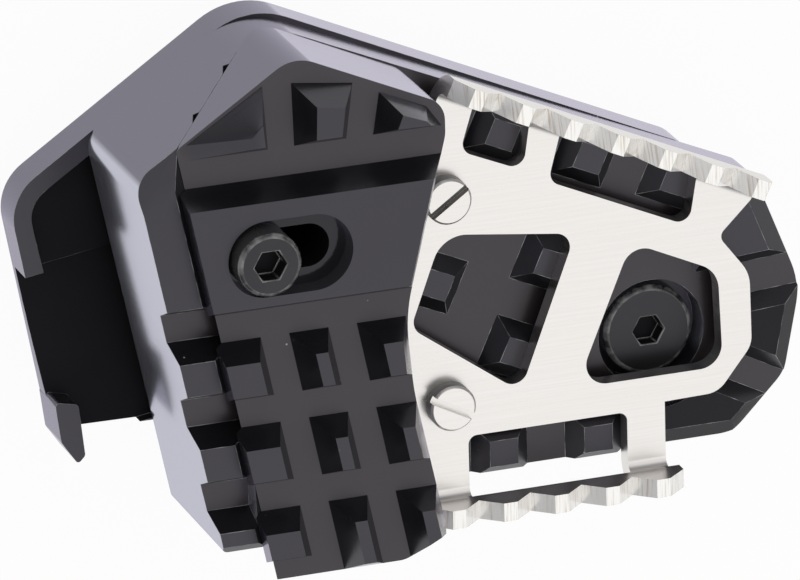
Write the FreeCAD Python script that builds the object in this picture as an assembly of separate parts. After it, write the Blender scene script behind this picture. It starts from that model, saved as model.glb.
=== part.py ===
import FreeCAD, Part
import math
import os

# Brake pedal extension: a base plate that takes the pedal lever, a studded main body on it,
# a step block that climbs a ramp on the body, and a toothed sheet steel grip plate.
# Millimetres. X runs along the step's rows, Z up; the origin is the lever bolt's axis on the underside.

# Levels
BASE_H = 6.7
PLATFORM_Z = 14.0
STUD_H = 2.5
SHEET_Z = PLATFORM_Z + STUD_H
SHEET_T = 3.0
STEP_Z = 35.5
TREAD_H = 4.8
STRIP_DROP = 3.3
STRIP_Z = STEP_Z - STRIP_DROP

# Directions in plan
SKEW = 11.0
EDGE_ANGLE = 33.1
RAIL_ANGLE = -24.6

# Straight edges in plan: a point on each
EDGE_POINT = (-89.4, 40.7)
RAIL_POINT = (3.5, 29.6)
WALL_POINT = (-83.6, 23.1)

# Base plate
BASE_LEFT = (-99.6, 33.6)
BASE_RIGHT_X = 10.0
BASE_FRONT_Y = -5.0
BASE_FOOT = (-93.0, BASE_FRONT_Y)
EAR_R = 8.0
CROWN_R = 12.0
RIM_W = 2.9
EAR_END = (-94.0, 21.2)
EAR_END_ANGLE = 8.8
EAR_FLOOR_Z = 3.2
SEAT_DEEP_Z = 1.4
SEAT_LIP_Z = 4.6
SEAT_SAG = 0.9
SEAT_LENGTH = 28.0
SEAT_REACH = 17.0
HOOK = [(-94.0, 0.6, 0.6), (-90.3, -0.2, 0.8), (-89.5, -8.6, 0.8), (-90.7, -9.8, 0.5), (-93.2, -6.0, 1.2)]
HOOK_TOP_Z = 8.2

# Main body
LEDGE = 0.8
BODY_FRONT_Y = -18.3
BODY_END = [(17.2, 23.4, 3.0), (24.6, 4.5, 13.0), (21.8, -9.6, 6.0), (13.2, -18.3, 6.0)]
WALL_CORNER_R = 4.5
STRIP_W = 5.4
STRIP_FACET = (-86.1, 37.4)
STRIP_FACET_RUN = 5.2
STRIP_FACET_DROP = 2.2
STRIP_FOOT_BEVEL = 1.3
RAMP_ANGLE = 40.0
RAMP_TOP_Z = 31.65
NOTCH_STEPS = (12.6, 20.4)
NOTCH_W = 2.2
NOTCH_D = 1.5

# Tread pattern
ROW_Y = (42.4, 17.4, 3.5, -10.4)
GROOVE_W = 4.4
STUD_SLOPE = 2.1
COLUMN_X = (-66.1, -55.4)
COLUMN_Y = 15.0
CROWN_Y = ROW_Y[0] + GROOVE_W / 2
CROWN_STUDS = (
    ([(-79.3, CROWN_Y), (-66.3, CROWN_Y), (-66.9, 54.6), (-79.0, 47.0)],
     [(-70.4, 46.7), (-68.2, 46.7), (-68.5, 50.2), (-70.2, 48.4)]),
    ([(-62.2, CROWN_Y), (-54.0, CROWN_Y), (-52.8, 53.2), (-62.4, 54.5)],
     [(-60.2, 46.7), (-56.2, 46.7), (-55.6, 51.2), (-60.0, 51.8)]),
    ([(-49.8, CROWN_Y), (-39.0, CROWN_Y), (-41.3, 47.9), (-48.7, 51.2)],
     [(-47.4, 46.6), (-42.2, 46.5), (-42.8, 47.2), (-46.6, 48.7)]),
)

# Studs of the platform under the grip plate
STUD_SIZE = (9.2, 8.8)
STUD_TIP = (4.6, 4.2)
RAIL_STUD = (-24.2, 36.3)
RAIL_STUD_STEP = (14.0, -5.7)
FRONT_STUD = (-25.2, -15.0)
FRONT_STUD_PITCH = 15.4
FIELD_STUDS = ((-35.4, 13.8), (-16.9, 14.4), (-22.6, 0.8))
END_LAND_X = 7.2
END_LAND_FOOT = (-0.6, -9.8)
END_LAND_R = 11.6
END_BEVEL = 3.0
END_GROOVES = (((12.0, 6.5), 4.0, 5.2), ((11.0, -6.2), -28.0, 4.4))

# Step block
STEP_GAP = 0.7
SLIDE_CLEAR = 0.1
STEP_EDGE = [(-38.4, 43.0, 5.0), (-45.4, 15.2, 26.0), (-44.4, 3.0, 40.0), (-39.6, -20.6, 3.0),
             (-46.4, -24.0, 4.0), (-68.4, -24.0, 2.0)]
STEP_EDGE_BEVEL = 2.3
STEP_APRON_Y = -23.2
STEP_APRON_END_X = -59.0
STEP_CROWN_R = 6.0
STEP_CORNER_R = 4.0

# Cap screw and its slot
CAP_AT = (-68.8, 29.0)
CAP_R = 3.0
CAP_HEAD_R = 5.0
CAP_HEAD_H = 6.0
CAP_HEX = 4.4
CAP_HEX_D = 3.0
CAP_LENGTH = 20.0
SLOT_AT = (-68.6, 29.2)
SLOT_TRAVEL = 7.6
SLOT_R = 3.4
SLOT_HEAD_R = 6.0
SLOT_DEPTH = 3.5
THREAD_CLEAR = 0.05

# Lever bolt
BOLT_R = 4.0
BOLT_HEAD_R = 7.2
BOLT_HEAD_H = 3.6
BOLT_TOP_Z = 12.9
BOLT_HEX = 4.4
BOLT_HEX_D = 2.4
BOLT_THREAD_R = 3.4
BOLT_END_Z = -10.0
BOLT_WELL_R = 8.6
HOLE_CLEAR = 0.05

# Grip plate
BEND_R = 1.5
TOOTH_PITCH = 8.3
TOOTH_H = 2.8
TOOTH_TIP = 2.2
FLANGE_H = 1.4
RAIL_FLANGE_IN = (-24.3, 40.8)
RAIL_START_X = -35.2
RAIL_LENGTH = 55.4
RAIL_FIRST = 3.8
FRONT_FLANGE_Y = -19.7
FRONT_START_X = -38.6
FRONT_LENGTH = 40.4
FRONT_FIRST = 4.3
SHEET_SCREWS = ((-35.1, -4.4), (-35.0, 28.9))
SHEET_HOLE_R = 2.25
WINDOW_LIFT = SHEET_T + BEND_R - 0.4
SHEET_LEFT = ((-42.4, 10.0, 8.0), (-39.5, 30.0, 6.0))
SHEET_NOSE = ((9.2, 16.2, 1.4), (14.2, 9.5, 6.0), (14.4, -2.2, 4.0), (8.8, -9.2, 4.0), (0.0, -9.4, 1.2))
RAIL_WINDOWS = ((-6.6, 2.4, (-22.2, 31.4, 2.0), (-32.2, 35.8, 2.0)),
                (8.4, 32.0, (4.4, 18.6, 2.0), (-18.2, 29.0, 2.0)))
FRONT_WINDOWS = ((-32.0, -6.2, -10.2, 1.4), (0.0, 6.0, -9.4, 0))
CENTRE_WINDOW = ((-35.4, 22.9, 5.0), (-14.0, 20.0, 2.4), (-23.4, -4.2, 2.4), (-40.8, 8.6, 2.4))
BOLT_WINDOW = ((-5.0, 17.2, 3.4), (9.0, 10.6, 4.6), (9.6, -5.0, 3.6), (-14.4, -5.0, 3.4))

# Slotted cheese head screws
CHEESE_R = 2.0
CHEESE_HEAD_R = 3.65
CHEESE_HEAD_H = 2.6
CHEESE_SLOT_W = 1.1
CHEESE_SLOT_D = 1.2
CHEESE_SLOT_ANGLES = (-28.0, 35.0)
CHEESE_LENGTH = 11.0


def v(x, y, z=0.0):
    return FreeCAD.Vector(x, y, z)


def meet(p, angle_p, q, angle_q):
    """The crossing of two lines in plan, each given by a point and an angle."""
    ux, uy = math.cos(math.radians(angle_p)), math.sin(math.radians(angle_p))
    wx, wy = math.cos(math.radians(angle_q)), math.sin(math.radians(angle_q))
    k = ((q[0] - p[0]) * wy - (q[1] - p[1]) * wx) / (ux * wy - uy * wx)
    return (p[0] + k * ux, p[1] + k * uy)


def along(p, angle, run, side=0.0):
    """A point reached from p by a run along an angle and a step to its left."""
    a = math.radians(angle)
    return (p[0] + run * math.cos(a) - side * math.sin(a), p[1] + run * math.sin(a) + side * math.cos(a))


def rounded(corners, z):
    """A closed outline through corners (x, y, radius), each rounded by its radius."""
    edges = []
    joints = []
    n = len(corners)
    for i in range(n):
        x, y, r = corners[i]
        here = v(x, y, z)
        back = v(corners[i - 1][0], corners[i - 1][1], z) - here
        ahead = v(corners[(i + 1) % n][0], corners[(i + 1) % n][1], z) - here
        back.normalize()
        ahead.normalize()
        half = back.getAngle(ahead) / 2
        reach = r / math.tan(half)
        middle = back + ahead
        middle.normalize()
        top = here + middle * (r / math.sin(half) - r)
        joints.append((here + back * reach, top, here + ahead * reach))
    for i in range(n):
        start, top, end = joints[i]
        if corners[i][2] > 0:
            edges.append(Part.Arc(start, top, end).toShape())
        edges.append(Part.makeLine(end, joints[(i + 1) % n][0]))
    return Part.Wire(edges)


def slab(corners, z0, z1):
    return Part.Face(rounded(corners, z0)).extrude(v(0, 0, z1 - z0))


def prism(points, direction):
    return Part.Face(Part.makePolygon(points + points[:1])).extrude(direction)


def edge_wedge(p, q, inset, z0, z1):
    """What is cut away where a top at z1 slopes down to z0 at the edge from p to q."""
    angle = math.degrees(math.atan2(q[1] - p[1], q[0] - p[0]))
    edge, inside, outside = [along(p, angle, 0, side) for side in (0, -inset, 6)]
    points = [v(*edge, z0), v(*inside, z1), v(*outside, z1), v(*outside, z0)]
    return prism(points, v(q[0] - p[0], q[1] - p[1]))


def groove(at, angle, start, end, top_z, depth, width=GROOVE_W, slope=STUD_SLOPE):
    """A flat-bottomed groove with sloping sides, cut down from top_z."""
    half = width / 2
    rise = 6.0
    lip = half + slope * (depth + rise) / depth
    a = math.radians(angle)
    side = v(-math.sin(a), math.cos(a))
    base = v(*along(at, angle, start))
    floor = v(0, 0, top_z - depth)
    top = v(0, 0, top_z + rise)
    points = [base + side * half + floor, base + side * lip + top,
              base - side * lip + top, base - side * half + floor]
    return prism(points, v(math.cos(a), math.sin(a)) * (end - start))


def oblong(at, angle, size):
    """The four corners of a turned rectangle in plan."""
    w, d = size
    return [along(at, angle, sx * w / 2, sy * d / 2) for sx, sy in ((-1, -1), (1, -1), (1, 1), (-1, 1))]


def stud(base, tip, z0, z1):
    """A raised stud between a wide base and a smaller flat tip."""
    wires = []
    for quad, z in ((base, z0), (tip, z1)):
        wires.append(Part.makePolygon([v(x, y, z) for x, y in quad + quad[:1]]))
    return Part.makeLoft(wires, True, True)


def hexagon(at, flats, z0, depth):
    r = flats / math.sqrt(3)
    points = [v(*along(at, 60 * i, r), z0) for i in range(6)]
    return prism(points, v(0, 0, depth))


def strip_slice(profile, start, end):
    """A bar along the toothed strip, from a profile of (distance from the wall's outer face, z)."""
    a = math.radians(SKEW)
    across = v(math.cos(a), math.sin(a))
    run = v(math.sin(a), -math.cos(a))
    base = v(*WALL_POINT) + run * start
    return prism([base + across * t + v(0, 0, z) for t, z in profile], run * (end - start))


def ramp_z(t):
    """Height of the ramp at a distance from the wall's outer face."""
    return RAMP_TOP_Z - (t - STRIP_W - STEP_GAP) * math.tan(math.radians(RAMP_ANGLE))


def crown():
    return meet(EDGE_POINT, EDGE_ANGLE, RAIL_POINT, RAIL_ANGLE)


def wall_corner():
    return meet(EDGE_POINT, EDGE_ANGLE, WALL_POINT, 90 + SKEW)


def lever_seat():
    """The space of the hollow seat: a shallow trough that runs in from the left, under the body's wall."""
    a = math.radians(EAR_END_ANGLE)
    run = v(math.cos(a), math.sin(a))
    down = v(math.sin(a), -math.cos(a))
    start = v(*EAR_END) - run * SEAT_REACH
    deep = start + v(0, 0, SEAT_DEEP_Z)
    lip = start + down * SEAT_LENGTH + v(0, 0, SEAT_LIP_Z)
    middle = (deep + lip) * 0.5 - v(0, 0, SEAT_SAG)
    high = v(0, 0, BASE_H + 1)
    edges = [Part.Arc(deep, middle, lip).toShape(), Part.makeLine(lip, start + down * SEAT_LENGTH + high),
             Part.makeLine(start + down * SEAT_LENGTH + high, start + high), Part.makeLine(start + high, deep)]
    return Part.Face(Part.Wire(edges)).extrude(run * (2 * SEAT_REACH))


def base_plate():
    top = crown()
    right = meet(RAIL_POINT, RAIL_ANGLE, (BASE_RIGHT_X, 0), 90)
    plate = slab([(*BASE_LEFT, EAR_R), (*top, CROWN_R), (*right, 5.0), (BASE_RIGHT_X, BASE_FRONT_Y, 4.0),
                  (*BASE_FOOT, 2.0)], 0, BASE_H)
    # The recess inside the ear's rim
    inner = along(BASE_LEFT, EDGE_ANGLE - 60, RIM_W * 1.15)
    reach = along(wall_corner(), EDGE_ANGLE, SEAT_REACH / 2, -RIM_W)
    near = meet(inner, 90 + SKEW, EAR_END, EAR_END_ANGLE)
    far = meet(reach, 90, EAR_END, EAR_END_ANGLE)
    recess = [(*inner, EAR_R - RIM_W), (*reach, 1.0), (*far, 0), (*near, 0)]
    plate = plate.cut(slab(recess, EAR_FLOOR_Z, BASE_H + 1))
    # The hollow seat for the lever, deepest beside the ear and rising to a lip at the front
    plate = plate.cut(lever_seat())
    plate = plate.fuse(slab(HOOK, 0, HOOK_TOP_Z))
    for at, r, z0 in (((0, 0), BOLT_R + HOLE_CLEAR, 0), (CAP_AT, CAP_R + THREAD_CLEAR, 2.0)):
        plate = plate.cut(Part.makeCylinder(r, BASE_H + 1, v(*at, z0)))
    return plate.removeSplitter()


def body_outline():
    rail = along(RAIL_POINT, RAIL_ANGLE, 0, -LEDGE)
    top = meet(EDGE_POINT, EDGE_ANGLE, rail, RAIL_ANGLE)
    foot = meet(WALL_POINT, 90 + SKEW, (0, BODY_FRONT_Y), 0)
    return [(*wall_corner(), WALL_CORNER_R), (*top, CROWN_R)] + BODY_END + [(*foot, 1.2)]


def platform_studs():
    """Studs under the grip plate: a row along the rail, a row along the front, the field between, the end."""
    places = [(FRONT_STUD[0] + i * FRONT_STUD_PITCH, FRONT_STUD[1], 0) for i in range(2)]
    places += [(x, y, RAIL_ANGLE) for x, y in FIELD_STUDS]
    for i in range(3):
        places.append((RAIL_STUD[0] + i * RAIL_STUD_STEP[0], RAIL_STUD[1] + i * RAIL_STUD_STEP[1], RAIL_ANGLE))
    studs = []
    for x, y, angle in places:
        base = oblong((x, y), angle, STUD_SIZE)
        studs.append(stud(base, oblong((x, y), angle, STUD_TIP), PLATFORM_Z, SHEET_Z))
    return studs + [end_land()]


def end_land():
    """The raised rim round the platform's end, cut through by two grooves."""
    land = slab(body_outline(), PLATFORM_Z, SHEET_Z)
    x, y = END_LAND_FOOT
    keep = Part.makeBox(60, 80, 60, v(END_LAND_X, -40, 0)).fuse(Part.makeBox(60, 60, 60, v(x, y - 60, 0)))
    land = land.common(keep).cut(Part.makeCylinder(END_LAND_R, 60))
    for at, angle, width in END_GROOVES:
        land = land.cut(groove(at, angle, -6, 20, SHEET_Z, STUD_H, width))
    edges = BODY_END + [(END_LAND_FOOT[0] - 1, BODY_FRONT_Y)]
    for p, q in zip(edges[:-1], edges[1:]):
        land = land.cut(edge_wedge(p[:2], q[:2], END_BEVEL, PLATFORM_Z, SHEET_Z + 0.01))
    return land


def main_body():
    outline = body_outline()
    body = slab(outline, BASE_H, PLATFORM_Z)
    envelope = slab(outline, BASE_H, STRIP_Z)
    deck_t = STRIP_W + STEP_GAP + (RAMP_TOP_Z - PLATFORM_Z) / math.tan(math.radians(RAMP_ANGLE))
    profile = [(-4, BASE_H), (-4, STRIP_Z), (STRIP_W, STRIP_Z), (STRIP_W, ramp_z(STRIP_W)),
               (deck_t, PLATFORM_Z), (deck_t, BASE_H)]
    wall = strip_slice(profile, -60, 60).common(envelope)
    for t in NOTCH_STEPS:
        mouth = NOTCH_W / 2
        notch = [(t - mouth, ramp_z(t - mouth) + 0.4), (t + mouth, ramp_z(t + mouth) + 0.4),
                 (t, ramp_z(t) - NOTCH_D)]
        wall = wall.cut(strip_slice(notch, -60, 60))
    for y in ROW_Y[1:]:
        wall = wall.cut(groove((-90, y), 0, 0, 20, STRIP_Z, TREAD_H))
    # The strip's top end falls away towards the edge
    start = along(STRIP_FACET, EDGE_ANGLE, -10)
    rim = along(start, EDGE_ANGLE, 0, STRIP_FACET_RUN)
    facet = [v(*start, STRIP_Z), v(*rim, STRIP_Z - STRIP_FACET_DROP), v(*rim, STRIP_Z + 1),
             v(*start, STRIP_Z + 1)]
    wall = wall.cut(prism(facet, v(*along((0, 0), EDGE_ANGLE, 30))))
    foot_z = STRIP_Z - STRIP_FOOT_BEVEL
    bevel = [v(-95, BODY_FRONT_Y, foot_z), v(-95, BODY_FRONT_Y, STRIP_Z + 1),
             v(-95, BODY_FRONT_Y + STRIP_FOOT_BEVEL + 1, STRIP_Z + 1)]
    wall = wall.cut(prism(bevel, v(30, 0)))
    body = body.fuse([wall] + [s.common(slab(outline, BASE_H, SHEET_Z)) for s in platform_studs()])
    body = body.cut(Part.makeCylinder(BOLT_R + HOLE_CLEAR, PLATFORM_Z, v(0, 0, 0)))
    body = body.cut(Part.makeCylinder(BOLT_WELL_R, 10, v(0, 0, BOLT_TOP_Z - BOLT_HEAD_H)))
    body = body.cut(Part.makeCylinder(CAP_R + THREAD_CLEAR, STEP_Z, v(*CAP_AT, 0)))
    for at in SHEET_SCREWS:
        tip = SHEET_Z + CHEESE_HEAD_H - CHEESE_LENGTH
        body = body.cut(Part.makeCylinder(CHEESE_R + HOLE_CLEAR, 20, v(*at, tip)))
        body = body.fuse(Part.makeCylinder(4.2, STUD_H, v(*at, PLATFORM_Z)).cut(
            Part.makeCylinder(CHEESE_R + HOLE_CLEAR, 20, v(*at, PLATFORM_Z - 1))))
    return body.removeSplitter()


def step_outline():
    rail = along(RAIL_POINT, RAIL_ANGLE, 0, -LEDGE)
    top = meet(EDGE_POINT, EDGE_ANGLE, rail, RAIL_ANGLE)
    face = along(WALL_POINT, 90 + SKEW, 0, -STRIP_W - STEP_GAP)
    left = meet(EDGE_POINT, EDGE_ANGLE, face, 90 + SKEW)
    right = meet(rail, RAIL_ANGLE, (STEP_EDGE[0][0], 0), 90)
    foot = meet(face, 90 + SKEW, (0, STEP_EDGE[-1][1]), 0)
    crown = [(*left, STEP_CORNER_R), (*top, STEP_CROWN_R), (*right, STEP_CORNER_R)]
    return crown + STEP_EDGE[:-1] + [(*foot, STEP_EDGE[-1][2])]


def slot(r, z0, z1):
    x, y = SLOT_AT
    ends = [Part.makeCylinder(r, z1 - z0, v(x + dx, y, z0)) for dx in (0, SLOT_TRAVEL)]
    return ends[0].fuse([ends[1], Part.makeBox(SLOT_TRAVEL, 2 * r, z1 - z0, v(x, y - r, z0))])


def step_block():
    floor_z = PLATFORM_Z + SLIDE_CLEAR
    block = slab(step_outline(), floor_z, STEP_Z)
    t0 = STRIP_W + STEP_GAP
    reach = 40.0
    below = [(t0 - 8, floor_z - 2), (t0 - 8, ramp_z(t0 - 8) + SLIDE_CLEAR),
             (t0 + reach, ramp_z(t0 + reach) + SLIDE_CLEAR)]
    block = block.cut(strip_slice(below, -60, 60))
    for y in ROW_Y:
        block = block.cut(groove((-95, y), 0, 0, 70, STEP_Z, TREAD_H))
    for x in COLUMN_X:
        block = block.cut(groove((x, COLUMN_Y), -90 + SKEW, -2.4, 50, STEP_Z, TREAD_H))
    block = block.cut(groove((STEP_APRON_END_X, STEP_APRON_Y), 180, 0, 40, STEP_Z, TREAD_H))
    for p, q in zip(STEP_EDGE[:-1], STEP_EDGE[1:]):
        block = block.cut(edge_wedge(p[:2], q[:2], STEP_EDGE_BEVEL, STEP_Z - TREAD_H, STEP_Z + 0.01))
    # The crown is level with the grooves and carries three studs of its own
    crown_cut = Part.makeBox(80, 40, 20, v(-95, ROW_Y[0], STEP_Z - TREAD_H))
    block = block.cut(crown_cut)
    block = block.fuse([stud(base, tip, STEP_Z - TREAD_H, STEP_Z) for base, tip in CROWN_STUDS])
    block = block.cut(slot(SLOT_HEAD_R, STEP_Z - SLOT_DEPTH, STEP_Z + 1))
    block = block.cut(slot(SLOT_R, PLATFORM_Z - 1, STEP_Z))
    return block.removeSplitter()


def toothed_flange(at, angle, length, first):
    """An upright strip with teeth and the bend below it; the sheet lies to the right of the direction."""
    z = SHEET_Z + SHEET_T + BEND_R
    a = math.radians(angle)
    run = v(math.cos(a), math.sin(a))
    out = v(-math.sin(a), math.cos(a))
    base = v(*at, 0)
    low = z + FLANGE_H
    half = TOOTH_PITCH / 2
    points = [(0, z), (0, low + TOOTH_H * max(0, 1 - first / half))]
    count = int((length - first) // TOOTH_PITCH) + 1
    for i in range(count):
        s = first + i * TOOTH_PITCH
        points += [(s - TOOTH_TIP / 2, low + TOOTH_H), (s + TOOTH_TIP / 2, low + TOOTH_H)]
        if s + half < length:
            points.append((s + half, low))
    over = length - first - (count - 1) * TOOTH_PITCH
    if over < half:
        points.append((length, low + TOOTH_H * (1 - over / half)))
    else:
        points.append((length, low + TOOTH_H * (over - half) / half))
    points.append((length, z))
    strip = prism([base + run * s + v(0, 0, h) for s, h in points], out * SHEET_T)
    centre = base - out * BEND_R + v(0, 0, z)
    ring = Part.makeCylinder(BEND_R + SHEET_T, length, centre, run).cut(
        Part.makeCylinder(BEND_R, length, centre, run))
    corner = prism([centre, centre + out * 9, centre + out * 9 - v(0, 0, 9), centre - v(0, 0, 9)], run * length)
    return strip.fuse(ring.common(corner))


def grip_plate():
    z0, z1 = SHEET_Z, SHEET_Z + SHEET_T
    rail_in = along(RAIL_FLANGE_IN, RAIL_ANGLE, 0, -BEND_R)
    rail_at = meet(RAIL_FLANGE_IN, RAIL_ANGLE, (RAIL_START_X, 0), 90)
    rail_start = along(rail_at, RAIL_ANGLE, 0, -BEND_R)
    rail_end = along(rail_start, RAIL_ANGLE, RAIL_LENGTH)
    front_y = FRONT_FLANGE_Y + BEND_R
    sheet = slab([(FRONT_START_X, front_y, 0), *SHEET_LEFT, (*rail_start, 0), (*rail_end, 0), *SHEET_NOSE,
                  (SHEET_NOSE[-1][0], front_y, 0)], z0, z1)
    rail_flange = toothed_flange(rail_at, RAIL_ANGLE, RAIL_LENGTH, RAIL_FIRST)
    front_at = (FRONT_START_X + FRONT_LENGTH, FRONT_FLANGE_Y)
    front_flange = toothed_flange(front_at, 180, FRONT_LENGTH, FRONT_FIRST)
    plate = sheet.fuse([rail_flange, front_flange])
    # The windows along the edges go on through the bends
    for start, end, *inner in RAIL_WINDOWS:
        outer = [(*along(rail_in, RAIL_ANGLE, run, 6), 0) for run in (start, end)]
        plate = plate.cut(slab(outer + inner, z0 - 1, z0 + WINDOW_LIFT))
    for left, right, top, r in FRONT_WINDOWS:
        foot = FRONT_FLANGE_Y - 6
        window = [(left, top, r), (right, top, r), (right, foot, 0), (left, foot, 0)]
        plate = plate.cut(slab(window, z0 - 1, z0 + WINDOW_LIFT))
    for window in (CENTRE_WINDOW, BOLT_WINDOW):
        plate = plate.cut(slab(window, z0 - 1, z1 + 1))
    for at in SHEET_SCREWS:
        plate = plate.cut(Part.makeCylinder(SHEET_HOLE_R, 10, v(*at, z0 - 1)))
    return plate.removeSplitter()


def cheese_screws():
    screws = []
    seat = SHEET_Z + SHEET_T
    for at, angle in zip(SHEET_SCREWS, CHEESE_SLOT_ANGLES):
        head = Part.makeCylinder(CHEESE_HEAD_R, CHEESE_HEAD_H, v(*at, seat))
        top = seat + CHEESE_HEAD_H
        rim = [e for e in head.Edges if abs(e.BoundBox.ZMin - top) < 0.01 and e.BoundBox.XLength > 1]
        head = head.makeChamfer(0.35, rim)
        cut = Part.makeBox(12, CHEESE_SLOT_W, 4, v(-6, -CHEESE_SLOT_W / 2, 0))
        cut.rotate(v(0, 0, 0), v(0, 0, 1), angle)
        cut.translate(v(*at, seat + CHEESE_HEAD_H - CHEESE_SLOT_D))
        shank = Part.makeCylinder(CHEESE_R, CHEESE_LENGTH - CHEESE_HEAD_H, v(*at, top - CHEESE_LENGTH))
        screws.append(head.cut(cut).fuse(shank).removeSplitter())
    return Part.makeCompound(screws)


def cap_screw():
    seat = STEP_Z - SLOT_DEPTH
    head = Part.makeCylinder(CAP_HEAD_R, CAP_HEAD_H, v(*CAP_AT, seat))
    rim = [e for e in head.Edges if abs(e.BoundBox.ZMin - seat - CAP_HEAD_H) < 0.01]
    head = head.makeChamfer(0.5, rim)
    head = head.cut(hexagon(CAP_AT, CAP_HEX, seat + CAP_HEAD_H - CAP_HEX_D, CAP_HEX_D + 1))
    shank = Part.makeCylinder(CAP_R, CAP_LENGTH, v(*CAP_AT, seat - CAP_LENGTH))
    return head.fuse(shank).removeSplitter()


def lever_bolt():
    seat = BOLT_TOP_Z - BOLT_HEAD_H
    head = Part.makeCylinder(BOLT_HEAD_R, BOLT_HEAD_H, v(0, 0, seat))
    rim = [e for e in head.Edges if abs(e.BoundBox.ZMin - BOLT_TOP_Z) < 0.01]
    head = head.makeChamfer(0.6, rim)
    head = head.cut(hexagon((0, 0), BOLT_HEX, BOLT_TOP_Z - BOLT_HEX_D, BOLT_HEX_D + 1))
    shank = Part.makeCylinder(BOLT_R, seat)
    thread = Part.makeCylinder(BOLT_THREAD_R, -BOLT_END_Z, v(0, 0, BOLT_END_Z))
    foot = [e for e in thread.Edges if abs(e.BoundBox.ZMax - BOLT_END_Z) < 0.01]
    return head.fuse([shank, thread.makeChamfer(0.6, foot)]).removeSplitter()


os.makedirs("parts", exist_ok=True)
for name, make in (("base_plate", base_plate), ("main_body", main_body), ("step_block", step_block),
                   ("grip_plate", grip_plate), ("plate_screws", cheese_screws), ("cap_screw", cap_screw),
                   ("lever_bolt", lever_bolt)):
    make().exportStep("parts/" + name + ".step")
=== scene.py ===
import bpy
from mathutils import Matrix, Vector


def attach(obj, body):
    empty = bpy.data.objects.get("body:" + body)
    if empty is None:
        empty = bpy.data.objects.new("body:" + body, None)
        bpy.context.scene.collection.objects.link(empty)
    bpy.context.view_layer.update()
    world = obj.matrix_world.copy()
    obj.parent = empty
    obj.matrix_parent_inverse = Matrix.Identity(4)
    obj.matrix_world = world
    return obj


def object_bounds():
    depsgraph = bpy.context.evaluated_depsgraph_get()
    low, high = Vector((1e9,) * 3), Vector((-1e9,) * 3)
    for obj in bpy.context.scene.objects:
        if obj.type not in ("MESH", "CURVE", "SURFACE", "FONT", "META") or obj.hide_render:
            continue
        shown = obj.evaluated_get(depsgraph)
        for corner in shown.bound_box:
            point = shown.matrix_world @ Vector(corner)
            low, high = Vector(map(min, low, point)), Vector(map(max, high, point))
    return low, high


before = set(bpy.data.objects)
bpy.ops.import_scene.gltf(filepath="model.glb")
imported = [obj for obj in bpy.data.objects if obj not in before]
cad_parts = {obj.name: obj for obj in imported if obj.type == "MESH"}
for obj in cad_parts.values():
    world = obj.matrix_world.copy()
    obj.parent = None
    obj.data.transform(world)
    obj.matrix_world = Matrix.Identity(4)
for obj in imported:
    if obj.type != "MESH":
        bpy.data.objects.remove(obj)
cad_box = [list(corner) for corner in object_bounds()]

import math
import bpy
from mathutils import Matrix, Vector

# Base plate: the lowest piece, which sits on the brake lever's tip. It is milled from aluminium bar,
# tumbled and anodised black, and the lever bolt clamps it under the main body.


def blend(tree, factor, under, colour):
    """Lays a plain colour over the one below where the factor is 1."""
    mix = tree.nodes.new("ShaderNodeMix")
    mix.data_type = "RGBA"
    mix.inputs["B"].default_value = (*colour, 1)
    tree.links.new(factor, mix.inputs["Factor"])
    tree.links.new(under, mix.inputs["A"])
    return mix.outputs["Result"]


def product(tree, first, second):
    """Multiplies two node outputs, or an output by a number."""
    times = tree.nodes.new("ShaderNodeMath")
    times.operation = "MULTIPLY"
    tree.links.new(first, times.inputs[0])
    if isinstance(second, (int, float)):
        times.inputs[1].default_value = second
    else:
        tree.links.new(second, times.inputs[1])
    return times.outputs["Value"]


def between(tree, value, low, high, to_low=0, to_high=1):
    """Maps an output from one range to another."""
    span = tree.nodes.new("ShaderNodeMapRange")
    span.inputs["From Min"].default_value = low
    span.inputs["From Max"].default_value = high
    span.inputs["To Min"].default_value = to_low
    span.inputs["To Max"].default_value = to_high
    tree.links.new(value, span.inputs["Value"])
    return span.outputs["Result"]


def relief(tree, height, strength, depth):
    """Fine unevenness of a surface."""
    bump = tree.nodes.new("ShaderNodeBump")
    bump.inputs["Strength"].default_value = strength
    bump.inputs["Distance"].default_value = depth
    tree.links.new(height, bump.inputs["Height"])
    return bump


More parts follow.
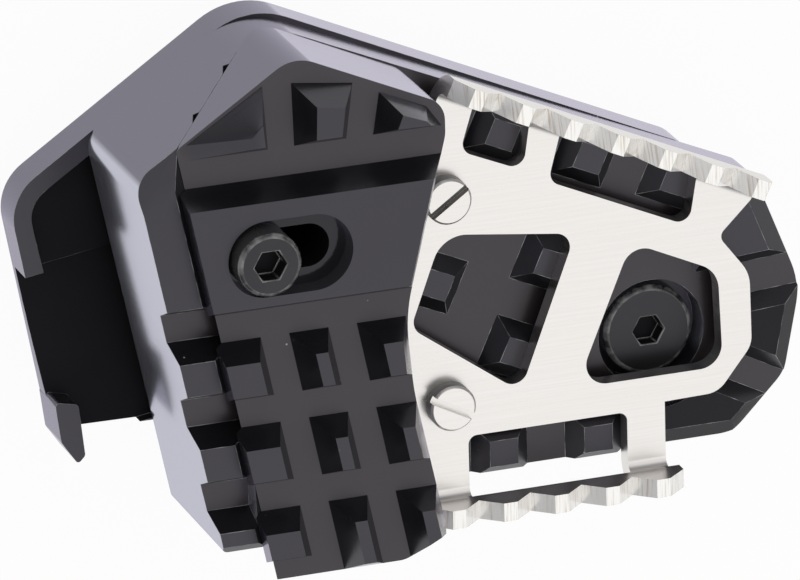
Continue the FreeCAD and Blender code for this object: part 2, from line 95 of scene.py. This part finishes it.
def black_anodise(name, tone, mottle, floors, wall, rail_painted_sheen, sheen, ior, walls_rough, flats_rough,
                  painted_reflection=None):
    """Dyed anodise: near black and satin on milled flats, brighter on the smooth side walls, with a
    painted sheen on the rail's side and a painted reflection if asked, and brown on groove floors."""
    finish = bpy.data.materials.new(name)
    finish.use_nodes = True
    tree = finish.node_tree
    skin = tree.nodes["Principled BSDF"]
    skin.inputs["IOR"].default_value = ior
    skin.inputs["Specular Tint"].default_value = (0.93, 0.89, 1, 1)
    place = tree.nodes.new("ShaderNodeTexCoord")
    facing = tree.nodes.new("ShaderNodeSeparateXYZ")
    tree.links.new(place.outputs["Normal"], facing.inputs["Vector"])
    tilt = tree.nodes.new("ShaderNodeMath")
    tilt.operation = "ABSOLUTE"
    tree.links.new(facing.outputs["Z"], tilt.inputs[0])
    level_face = between(tree, tilt.outputs["Value"], 0.93, 0.98)
    upright = between(tree, tilt.outputs["Value"], 0.3, 0.12)
    # Cloudy dye, a shade browner on the floors that the cutter left
    clouds = tree.nodes.new("ShaderNodeTexNoise")
    clouds.inputs["Scale"].default_value = 60
    clouds.inputs["Detail"].default_value = 6
    dye = tree.nodes.new("ShaderNodeValToRGB")
    dye.color_ramp.elements[0].position = 0.3
    dye.color_ramp.elements[0].color = (*tone, 1)
    dye.color_ramp.elements[1].position = 0.75
    dye.color_ramp.elements[1].color = (*mottle, 1)
    tree.links.new(place.outputs["Object"], clouds.inputs["Vector"])
    tree.links.new(clouds.outputs["Fac"], dye.inputs["Fac"])
    colour = dye.outputs["Color"]
    height = tree.nodes.new("ShaderNodeSeparateXYZ")
    tree.links.new(place.outputs["Object"], height.inputs["Vector"])
    for level in floors:
        at_floor = tree.nodes.new("ShaderNodeMath")
        at_floor.operation = "COMPARE"
        at_floor.inputs[1].default_value = level
        at_floor.inputs[2].default_value = 0.0003
        tree.links.new(height.outputs["Z"], at_floor.inputs[0])
        cut_floor = product(tree, at_floor.outputs["Value"], level_face)
        colour = blend(tree, cut_floor, colour, (0.016, 0.0125, 0.012))
    # A few pale specks of dust
    scatter = tree.nodes.new("ShaderNodeTexVoronoi")
    scatter.inputs["Scale"].default_value = 160
    tree.links.new(place.outputs["Object"], scatter.inputs["Vector"])
    speck = between(tree, scatter.outputs["Distance"], 0.03, 0.018)
    colour = blend(tree, speck, colour, (0.4, 0.4, 0.4))
    # The walls have a metal sheen; on the rail's side they are painted lighter still, a painted sheen
    colour = blend(tree, upright, colour, wall)
    painted_sheen_mask = product(tree, between(tree, facing.outputs["X"], 0.3, 0.38), upright)
    colour = blend(tree, painted_sheen_mask, colour, rail_painted_sheen)
    if painted_reflection:
        # The long left wall is painted pale, a painted reflection
        painted_reflection_mask = product(tree, between(tree, facing.outputs["X"], -0.85, -0.95), upright)
        colour = blend(tree, painted_reflection_mask, colour, painted_reflection)
    tree.links.new(colour, skin.inputs["Base Color"])
    if sheen:
        tree.links.new(product(tree, upright, sheen), skin.inputs["Metallic"])
    # Level flats are satin, upright walls smoother, both a little uneven
    gloss = between(tree, tilt.outputs["Value"], 0.2, 1, walls_rough, flats_rough)
    uneven = tree.nodes.new("ShaderNodeMath")
    uneven.operation = "MULTIPLY_ADD"
    uneven.inputs[1].default_value = 0.08
    tree.links.new(clouds.outputs["Fac"], uneven.inputs[0])
    tree.links.new(gloss, uneven.inputs[2])
    tree.links.new(uneven.outputs["Value"], skin.inputs["Roughness"])
    # Blasted grain, and faint upright cutter streaks on the walls
    blast = tree.nodes.new("ShaderNodeTexNoise")
    blast.inputs["Scale"].default_value = 2600
    blast.inputs["Detail"].default_value = 2
    stretch = tree.nodes.new("ShaderNodeMapping")
    stretch.inputs["Scale"].default_value = (900, 900, 14)
    streaks = tree.nodes.new("ShaderNodeTexNoise")
    streaks.inputs["Scale"].default_value = 1
    tree.links.new(place.outputs["Object"], blast.inputs["Vector"])
    tree.links.new(place.outputs["Object"], stretch.inputs["Vector"])
    tree.links.new(stretch.outputs["Vector"], streaks.inputs["Vector"])
    grain = relief(tree, blast.outputs["Fac"], 0.1, 0.00004)
    cutter = relief(tree, streaks.outputs["Fac"], 0.12, 0.00004)
    if painted_reflection:
        # That wall's shading normal also leans up a little, so it takes its sheen from further out
        upward = tree.nodes.new("ShaderNodeCombineXYZ")
        leaning = tree.nodes.new("ShaderNodeVectorMath")
        polished = tree.nodes.new("ShaderNodeVectorMath")
        polished.operation = "NORMALIZE"
        tree.links.new(product(tree, painted_reflection_mask, 0.3), upward.inputs["Z"])
        tree.links.new(place.outputs["Normal"], leaning.inputs[0])
        tree.links.new(upward.outputs["Vector"], leaning.inputs[1])
        tree.links.new(leaning.outputs["Vector"], polished.inputs[0])
        tree.links.new(polished.outputs["Vector"], grain.inputs["Normal"])
    tree.links.new(grain.outputs["Normal"], cutter.inputs["Normal"])
    tree.links.new(cutter.outputs["Normal"], skin.inputs["Normal"])
    return finish


def speckled_finish(name, colour, rough):
    """A colour speckled over near black. On broken edges and rims it is rubbed wear with a painted
    highlight; in its dark use on the plate screws it is painted shade and painted dark reflection.
    """
    finish = bpy.data.materials.new(name)
    finish.use_nodes = True
    tree = finish.node_tree
    skin = tree.nodes["Principled BSDF"]
    place = tree.nodes.new("ShaderNodeTexCoord")
    specks = tree.nodes.new("ShaderNodeTexNoise")
    specks.inputs["Scale"].default_value = 420
    specks.inputs["Detail"].default_value = 4
    speckle_colours = tree.nodes.new("ShaderNodeValToRGB")
    speckle_colours.color_ramp.elements[0].position = 0.4
    speckle_colours.color_ramp.elements[0].color = (0.02, 0.02, 0.022, 1)
    speckle_colours.color_ramp.elements[1].position = 0.62
    speckle_colours.color_ramp.elements[1].color = (*colour, 1)
    tree.links.new(place.outputs["Object"], specks.inputs["Vector"])
    tree.links.new(specks.outputs["Fac"], speckle_colours.inputs["Fac"])
    tree.links.new(speckle_colours.outputs["Color"], skin.inputs["Base Color"])
    skin.inputs["Roughness"].default_value = rough
    skin.inputs["IOR"].default_value = 1.65
    return finish


edge_index, third_index, fourth_index = 1, 2, 3


def break_edges(node, width, faces, edges):
    """Joins a node's faces, breaks its sharp edges and gives faces and edges their finishes."""
    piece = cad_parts[node]
    piece.data.materials.clear()
    piece.data.materials.append(faces)
    piece.data.materials.append(edges)
    weld = piece.modifiers.new("joined_faces", "WELD")
    weld.merge_threshold = 0.000002
    flats = piece.modifiers.new("whole_flats", "DECIMATE")
    flats.decimate_type = "DISSOLVE"
    flats.angle_limit = 0.01
    flats.delimit = {"MATERIAL"}
    bevel = piece.modifiers.new("broken_edges", "BEVEL")
    bevel.width = width
    bevel.segments = 2
    bevel.limit_method = "ANGLE"
    bevel.angle_limit = 0.6
    bevel.material = edge_index
    even = piece.modifiers.new("even_shading", "WEIGHTED_NORMAL")
    even.mode = "FACE_AREA"
    return piece


dye_tone, dye_mottle = (0.006, 0.006, 0.007), (0.014, 0.014, 0.016)
groove_floors = (0.014, 0.0274, 0.0307)
# The second wall tone, for walls facing the rail's side, is a painted sheen
wall_tone, rail_painted_sheen_tone = (0.17, 0.172, 0.2), (0.42, 0.42, 0.46)
anodise = black_anodise("black_anodise", dye_tone, dye_mottle, groove_floors, wall_tone, rail_painted_sheen_tone,
                        sheen=0.9, ior=1.66, walls_rough=0.17, flats_rough=0.3)
# Broken edges: rubbed wear with a painted highlight
anodise_wear_and_highlight = speckled_finish("anodise_edge_wear_and_highlight", (0.4, 0.4, 0.42), 0.3)
# Painted shade for recesses, slots and sockets: a near black with little reflection
pocket_wall = (0.01, 0.01, 0.011)
recess_painted_shade = black_anodise("matt_pocket_painted_shade", (0.003, 0.003, 0.0035), (0.006, 0.006, 0.007), (),
                           pocket_wall, pocket_wall, sheen=0, ior=1.25, walls_rough=0.4, flats_rough=0.5)
base = break_edges("base_plate", 0.0003, anodise, anodise_wear_and_highlight)
base.data.materials.append(recess_painted_shade)
rim_level, faces_up = 0.0064, 0.3
# The seat and ear floors below the rim get painted shade
for face in base.data.polygons:
    if face.normal.z > faces_up and face.center.z < rim_level:
        face.material_index = third_index

# Main body: the studded platform with its ramp and the toothed strip on the left, milled in one piece
# of aluminium and anodised black like the base plate it stands on.

# The body's long left wall gets a pale colour, a painted reflection
body_anodise = black_anodise("black_anodise_body", dye_tone, dye_mottle, groove_floors, wall_tone,
                             rail_painted_sheen_tone, sheen=0.9, ior=1.66, walls_rough=0.17, flats_rough=0.3,
                             painted_reflection=(0.54, 0.55, 0.62))
body = break_edges("main_body", 0.00025, body_anodise, anodise_wear_and_highlight)
dull_wall = (0.05, 0.05, 0.055)
dull_anodise = black_anodise("dull_anodise", (0.005, 0.005, 0.006), (0.01, 0.01, 0.012), (),
                             dull_wall, dull_wall, sheen=0.3, ior=1.36, walls_rough=0.4, flats_rough=0.42)
body.data.materials.append(dull_anodise)
lands_left_x, lands_back_y, land_level = -0.002, 0.008, 0.0163
for face in body.data.polygons:
    # The two lands round the bolt's end stay as dull as the cutter left them
    outward = face.normal.xy.dot(face.center.xy.normalized())
    slope = outward > 0.4 and 0.5 < face.normal.z < 0.9
    top = face.normal.z > 0.9 and face.center.z > land_level
    if face.center.x > lands_left_x and face.center.y < lands_back_y and (slope or top):
        face.material_index = third_index

# Step block: the adjustable tread, a wedge of the same black aluminium whose slope lies on the body's
# ramp. Cross grooves leave it covered in blunt studs, with a plain pad round the slot.

step = break_edges("step_block", 0.00025, anodise, anodise_wear_and_highlight)
bore_wall = (0.12, 0.12, 0.13)
counterbore = black_anodise("glossy_counterbore", (0.004, 0.004, 0.0045), (0.008, 0.008, 0.009), (),
                            bore_wall, bore_wall, sheen=0.7, ior=1.46, walls_rough=0.1, flats_rough=0.06)
step.data.materials.append(recess_painted_shade)
step.data.materials.append(counterbore)
slot_low, slot_high = Vector((-0.0757, 0.0225, 0.012)), Vector((-0.0542, 0.036, 0.0353))
slot_start, slot_end, slot_y, slot_r = -0.0686, -0.061, 0.0292, 0.0034
for face in step.data.polygons:
    inside = all(low < at < high for low, at, high in zip(slot_low, face.center, slot_high))
    nearest = min(max(face.center.x, slot_start), slot_end)
    reach = math.hypot(face.center.x - nearest, face.center.y - slot_y)
    if inside and face.normal.z > -0.05:
        # The slot's inner walls get painted shade; the counterbore round them a glossy black
        in_bore = reach < slot_r + 0.0002 and face.normal.z < 0.5
        face.material_index = third_index if in_bore else fourth_index

# Grip plate: stainless sheet, cut with windows and folded up along two sides, where saw teeth hold
# the sole. Two slotted screws fix it on the studs of the platform.

steel = bpy.data.materials.new("satin_stainless")
steel.use_nodes = True
tree = steel.node_tree
skin = tree.nodes["Principled BSDF"]
skin.inputs["Metallic"].default_value = 1
place = tree.nodes.new("ShaderNodeTexCoord")
stretch = tree.nodes.new("ShaderNodeMapping")
stretch.inputs["Scale"].default_value = (60, 2400, 60)
brush = tree.nodes.new("ShaderNodeTexNoise")
brush.inputs["Scale"].default_value = 1
brush.inputs["Detail"].default_value = 4
tint = tree.nodes.new("ShaderNodeValToRGB")
tint.color_ramp.elements[0].color = (0.72, 0.69, 0.66, 1)
tint.color_ramp.elements[1].color = (0.86, 0.84, 0.82, 1)
tree.links.new(place.outputs["Object"], stretch.inputs["Vector"])
tree.links.new(stretch.outputs["Vector"], brush.inputs["Vector"])
tree.links.new(brush.outputs["Fac"], tint.inputs["Fac"])
tree.links.new(tint.outputs["Color"], skin.inputs["Base Color"])
tree.links.new(between(tree, brush.outputs["Fac"], 0, 1, 0.22, 0.38), skin.inputs["Roughness"])

cut_steel = bpy.data.materials.new("cut_steel_edge")
cut_steel.use_nodes = True
tree = cut_steel.node_tree
skin = tree.nodes["Principled BSDF"]
skin.inputs["Metallic"].default_value = 0.6
place = tree.nodes.new("ShaderNodeTexCoord")
stretch = tree.nodes.new("ShaderNodeMapping")
stretch.inputs["Scale"].default_value = (3800, 140, 90)
ripple = tree.nodes.new("ShaderNodeTexNoise")
ripple.inputs["Scale"].default_value = 1
ripple.inputs["Detail"].default_value = 3
scorch = tree.nodes.new("ShaderNodeValToRGB")
scorch.color_ramp.elements[0].position = 0.3
scorch.color_ramp.elements[0].color = (0.64, 0.57, 0.48, 1)
scorch.color_ramp.elements[1].position = 0.48
scorch.color_ramp.elements[1].color = (0.95, 0.935, 0.91, 1)
tree.links.new(place.outputs["Object"], stretch.inputs["Vector"])
tree.links.new(stretch.outputs["Vector"], ripple.inputs["Vector"])
tree.links.new(ripple.outputs["Fac"], scorch.inputs["Fac"])
tree.links.new(scorch.outputs["Color"], skin.inputs["Base Color"])
tree.links.new(between(tree, ripple.outputs["Fac"], 0, 1, 0.1, 0.24), skin.inputs["Roughness"])
dents = relief(tree, ripple.outputs["Fac"], 0.06, 0.0002)
tree.links.new(dents.outputs["Normal"], skin.inputs["Normal"])
plate = break_edges("grip_plate", 0.0002, steel, cut_steel)
fold_level = 0.0212
for face in plate.data.polygons:
    if face.normal.z > faces_up and face.center.z > fold_level:
        face.material_index = edge_index

# Plate screws: two slotted cheese head screws of bright turned steel, screwed through the grip plate
# into the platform. The sides of their heads carry a painted dark reflection, and the slot of the upper
# one painted shade.

screws = break_edges("plate_screws", 0.00012, steel, cut_steel)
screws.data.materials.append(speckled_finish("painted_shade_and_reflection_steel", (0.13, 0.12, 0.11), 0.4))
screw_centres = (Vector((-0.0351, -0.0044)), Vector((-0.035, 0.0289)))
head_r, slot_depth, midway_y = 0.00365, 0.0012, 0.012
slot_floor = max(corner.co.z for corner in screws.data.vertices) - slot_depth
# Head sides get a painted dark reflection and the upper slot floor painted shade
for face in screws.data.polygons:
    reach = min((face.center.xy - centre).length for centre in screw_centres)
    head_side = reach > head_r * 0.95 and abs(face.normal.z) < faces_up
    in_slot = face.normal.z > 0.9 and abs(face.center.z - slot_floor) < 0.0001
    if head_side or in_slot and face.center.y > midway_y:
        face.material_index = third_index

# Cap screw: a socket head screw of black oxide steel. It goes through the step block's slot into the
# body and clamps the block on the ramp.

head_wall = (0.12, 0.12, 0.125)
oxide = black_anodise("black_oxide", (0.01, 0.01, 0.0105), (0.022, 0.022, 0.023), (),
                      head_wall, head_wall, sheen=0.5, ior=1.52, walls_rough=0.2, flats_rough=0.34)
# The rim ring: rubbed wear with a painted highlight
oxide_wear_and_highlight = speckled_finish("oxide_rim_wear_and_highlight", (0.2, 0.2, 0.2), 0.2)
socket_r, socket_depth, socket_rim = 0.0027, 0.004, 0.0002


def socket_head(node, centre, top):
    """A black head whose rim ring has rubbed wear with a painted highlight, and a socket darkened inside
    with painted shade.
    """
    screw = break_edges(node, 0.0002, oxide, oxide_wear_and_highlight)
    screw.data.materials.append(recess_painted_shade)
    for face in screw.data.polygons:
        reach = math.hypot(face.center.x - centre[0], face.center.y - centre[1])
        # Inside the socket: painted shade
        if reach < socket_r and top - socket_depth < face.center.z < top - socket_rim:
            face.material_index = third_index
        elif faces_up < face.normal.z < 0.95:
            face.material_index = edge_index


socket_head("cap_screw", (-0.0688, 0.029), 0.038)

# Lever bolt: the flat head bolt in the platform's well, black oxide steel, which goes down through
# body and base plate to the lever. Its free end has a rolled thread.

socket_head("lever_bolt", (0, 0), 0.0129)

core_r, crest_r, pitch = 0.00335, 0.00395, 0.00125
first_turn, last_turn = -0.0093, -0.0008
steps = 32
root_half, crest_half = 0.45, 0.08
count = int((last_turn - first_turn) / pitch * steps)
points, quads = [], []
for i in range(count + 1):
    angle = 2 * math.pi * i / steps
    level = first_turn + pitch * i / steps
    # The thread runs out at both ends
    rise = (crest_r - core_r) * min(1, i / steps * 2, (count - i) / steps * 2)
    crest = core_r + rise
    for r, lift in ((core_r, -root_half), (crest, -crest_half), (crest, crest_half), (core_r, root_half)):
        points.append((r * math.cos(angle), r * math.sin(angle), level + lift * pitch))
for i in range(count):
    for k in range(3):
        quads.append((4 * i + k, 4 * i + k + 4, 4 * i + k + 5, 4 * i + k + 1))
ridge = bpy.data.meshes.new("bolt_thread")
ridge.from_pydata(points, [], quads)
ridge.materials.append(oxide)
thread = bpy.data.objects.new("bolt_thread", ridge)
bpy.context.scene.collection.objects.link(thread)
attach(thread, "frame")

# Studio: a white paper floor that keeps a faint shadow, a pale ceiling over dim walls, one broad
# soft lamp above, and a camera with a long lens.

floor_level, floor_half = cad_box[0][2] - 0.0002, 4
corners = ((-1, -1), (1, -1), (1, 1), (-1, 1))
sheet = bpy.data.meshes.new("studio_floor")
sheet.from_pydata([(x * floor_half, y * floor_half, floor_level) for x, y in corners], [], [(0, 1, 2, 3)])
floor = bpy.data.objects.new("studio_floor", sheet)
bpy.context.scene.collection.objects.link(floor)
paper = bpy.data.materials.new("white_paper")
paper.use_nodes = True
tree = paper.node_tree
diffuse = tree.nodes["Principled BSDF"]
diffuse.inputs["Base Color"].default_value = (0.9, 0.9, 0.9, 1)
diffuse.inputs["Roughness"].default_value = 0.9
glow = tree.nodes.new("ShaderNodeEmission")
glow.inputs["Strength"].default_value = 1
path = tree.nodes.new("ShaderNodeLightPath")
seen = tree.nodes.new("ShaderNodeMath")
seen.operation = "MAXIMUM"
mix = tree.nodes.new("ShaderNodeMixShader")
tree.links.new(path.outputs["Is Camera Ray"], seen.inputs[0])
tree.links.new(path.outputs["Is Glossy Ray"], seen.inputs[1])
tree.links.new(product(tree, seen.outputs["Value"], 0.95), mix.inputs["Fac"])
tree.links.new(diffuse.outputs["BSDF"], mix.inputs[1])
tree.links.new(glow.outputs["Emission"], mix.inputs[2])
tree.links.new(mix.outputs["Shader"], tree.nodes["Material Output"].inputs["Surface"])
floor.data.materials.append(paper)

world = bpy.data.worlds.new("studio_surround")
world.use_nodes = True
tree = world.node_tree
place = tree.nodes.new("ShaderNodeTexCoord")
direction = tree.nodes.new("ShaderNodeSeparateXYZ")
ceiling = tree.nodes.new("ShaderNodeValToRGB")
ceiling.color_ramp.elements[0].position = 0.3
ceiling.color_ramp.elements[0].color = (0.26, 0.26, 0.27, 1)
ceiling.color_ramp.elements[1].position = 0.75
ceiling.color_ramp.elements[1].color = (0.92, 0.92, 0.92, 1)
tree.links.new(place.outputs["Generated"], direction.inputs["Vector"])
tree.links.new(direction.outputs["Z"], ceiling.inputs["Fac"])
tree.links.new(ceiling.outputs["Color"], tree.nodes["Background"].inputs["Color"])
bpy.context.scene.world = world

lamp = bpy.data.lights.new("soft_lamp", "AREA")
lamp.shape = "RECTANGLE"
lamp.size = 0.5
lamp.size_y = 0.4
lamp.energy = 0.15
lamp_stand = bpy.data.objects.new("soft_lamp", lamp)
lamp_stand.location = (0.18, -0.2, 0.6)
lamp_aim = Vector((-0.04, 0.013, 0))
lamp_stand.rotation_euler = (lamp_aim - lamp_stand.location).to_track_quat("-Z", "Y").to_euler()
bpy.context.scene.collection.objects.link(lamp_stand)

lens = bpy.data.cameras.new("long_lens")
lens.lens = 445.5
lens.clip_end = 20
camera = bpy.data.objects.new("long_lens", lens)
aim, distance = Vector((-0.04065, 0.0131, 0.0145)), 1.5
right = Vector((0.9424, -0.0252, 0.3334)).normalized()
back = Vector((-0.3045, 0.3471, 0.8870)).normalized()
up = back.cross(right).normalized()
right = up.cross(back)
stand = aim + back * distance
camera.matrix_world = Matrix((
    (right.x, up.x, back.x, stand.x),
    (right.y, up.y, back.y, stand.y),
    (right.z, up.z, back.z, stand.z),
    (0, 0, 0, 1)))
bpy.context.scene.collection.objects.link(camera)
bpy.context.scene.camera = camera
bpy.context.scene.view_settings.view_transform = "Standard"
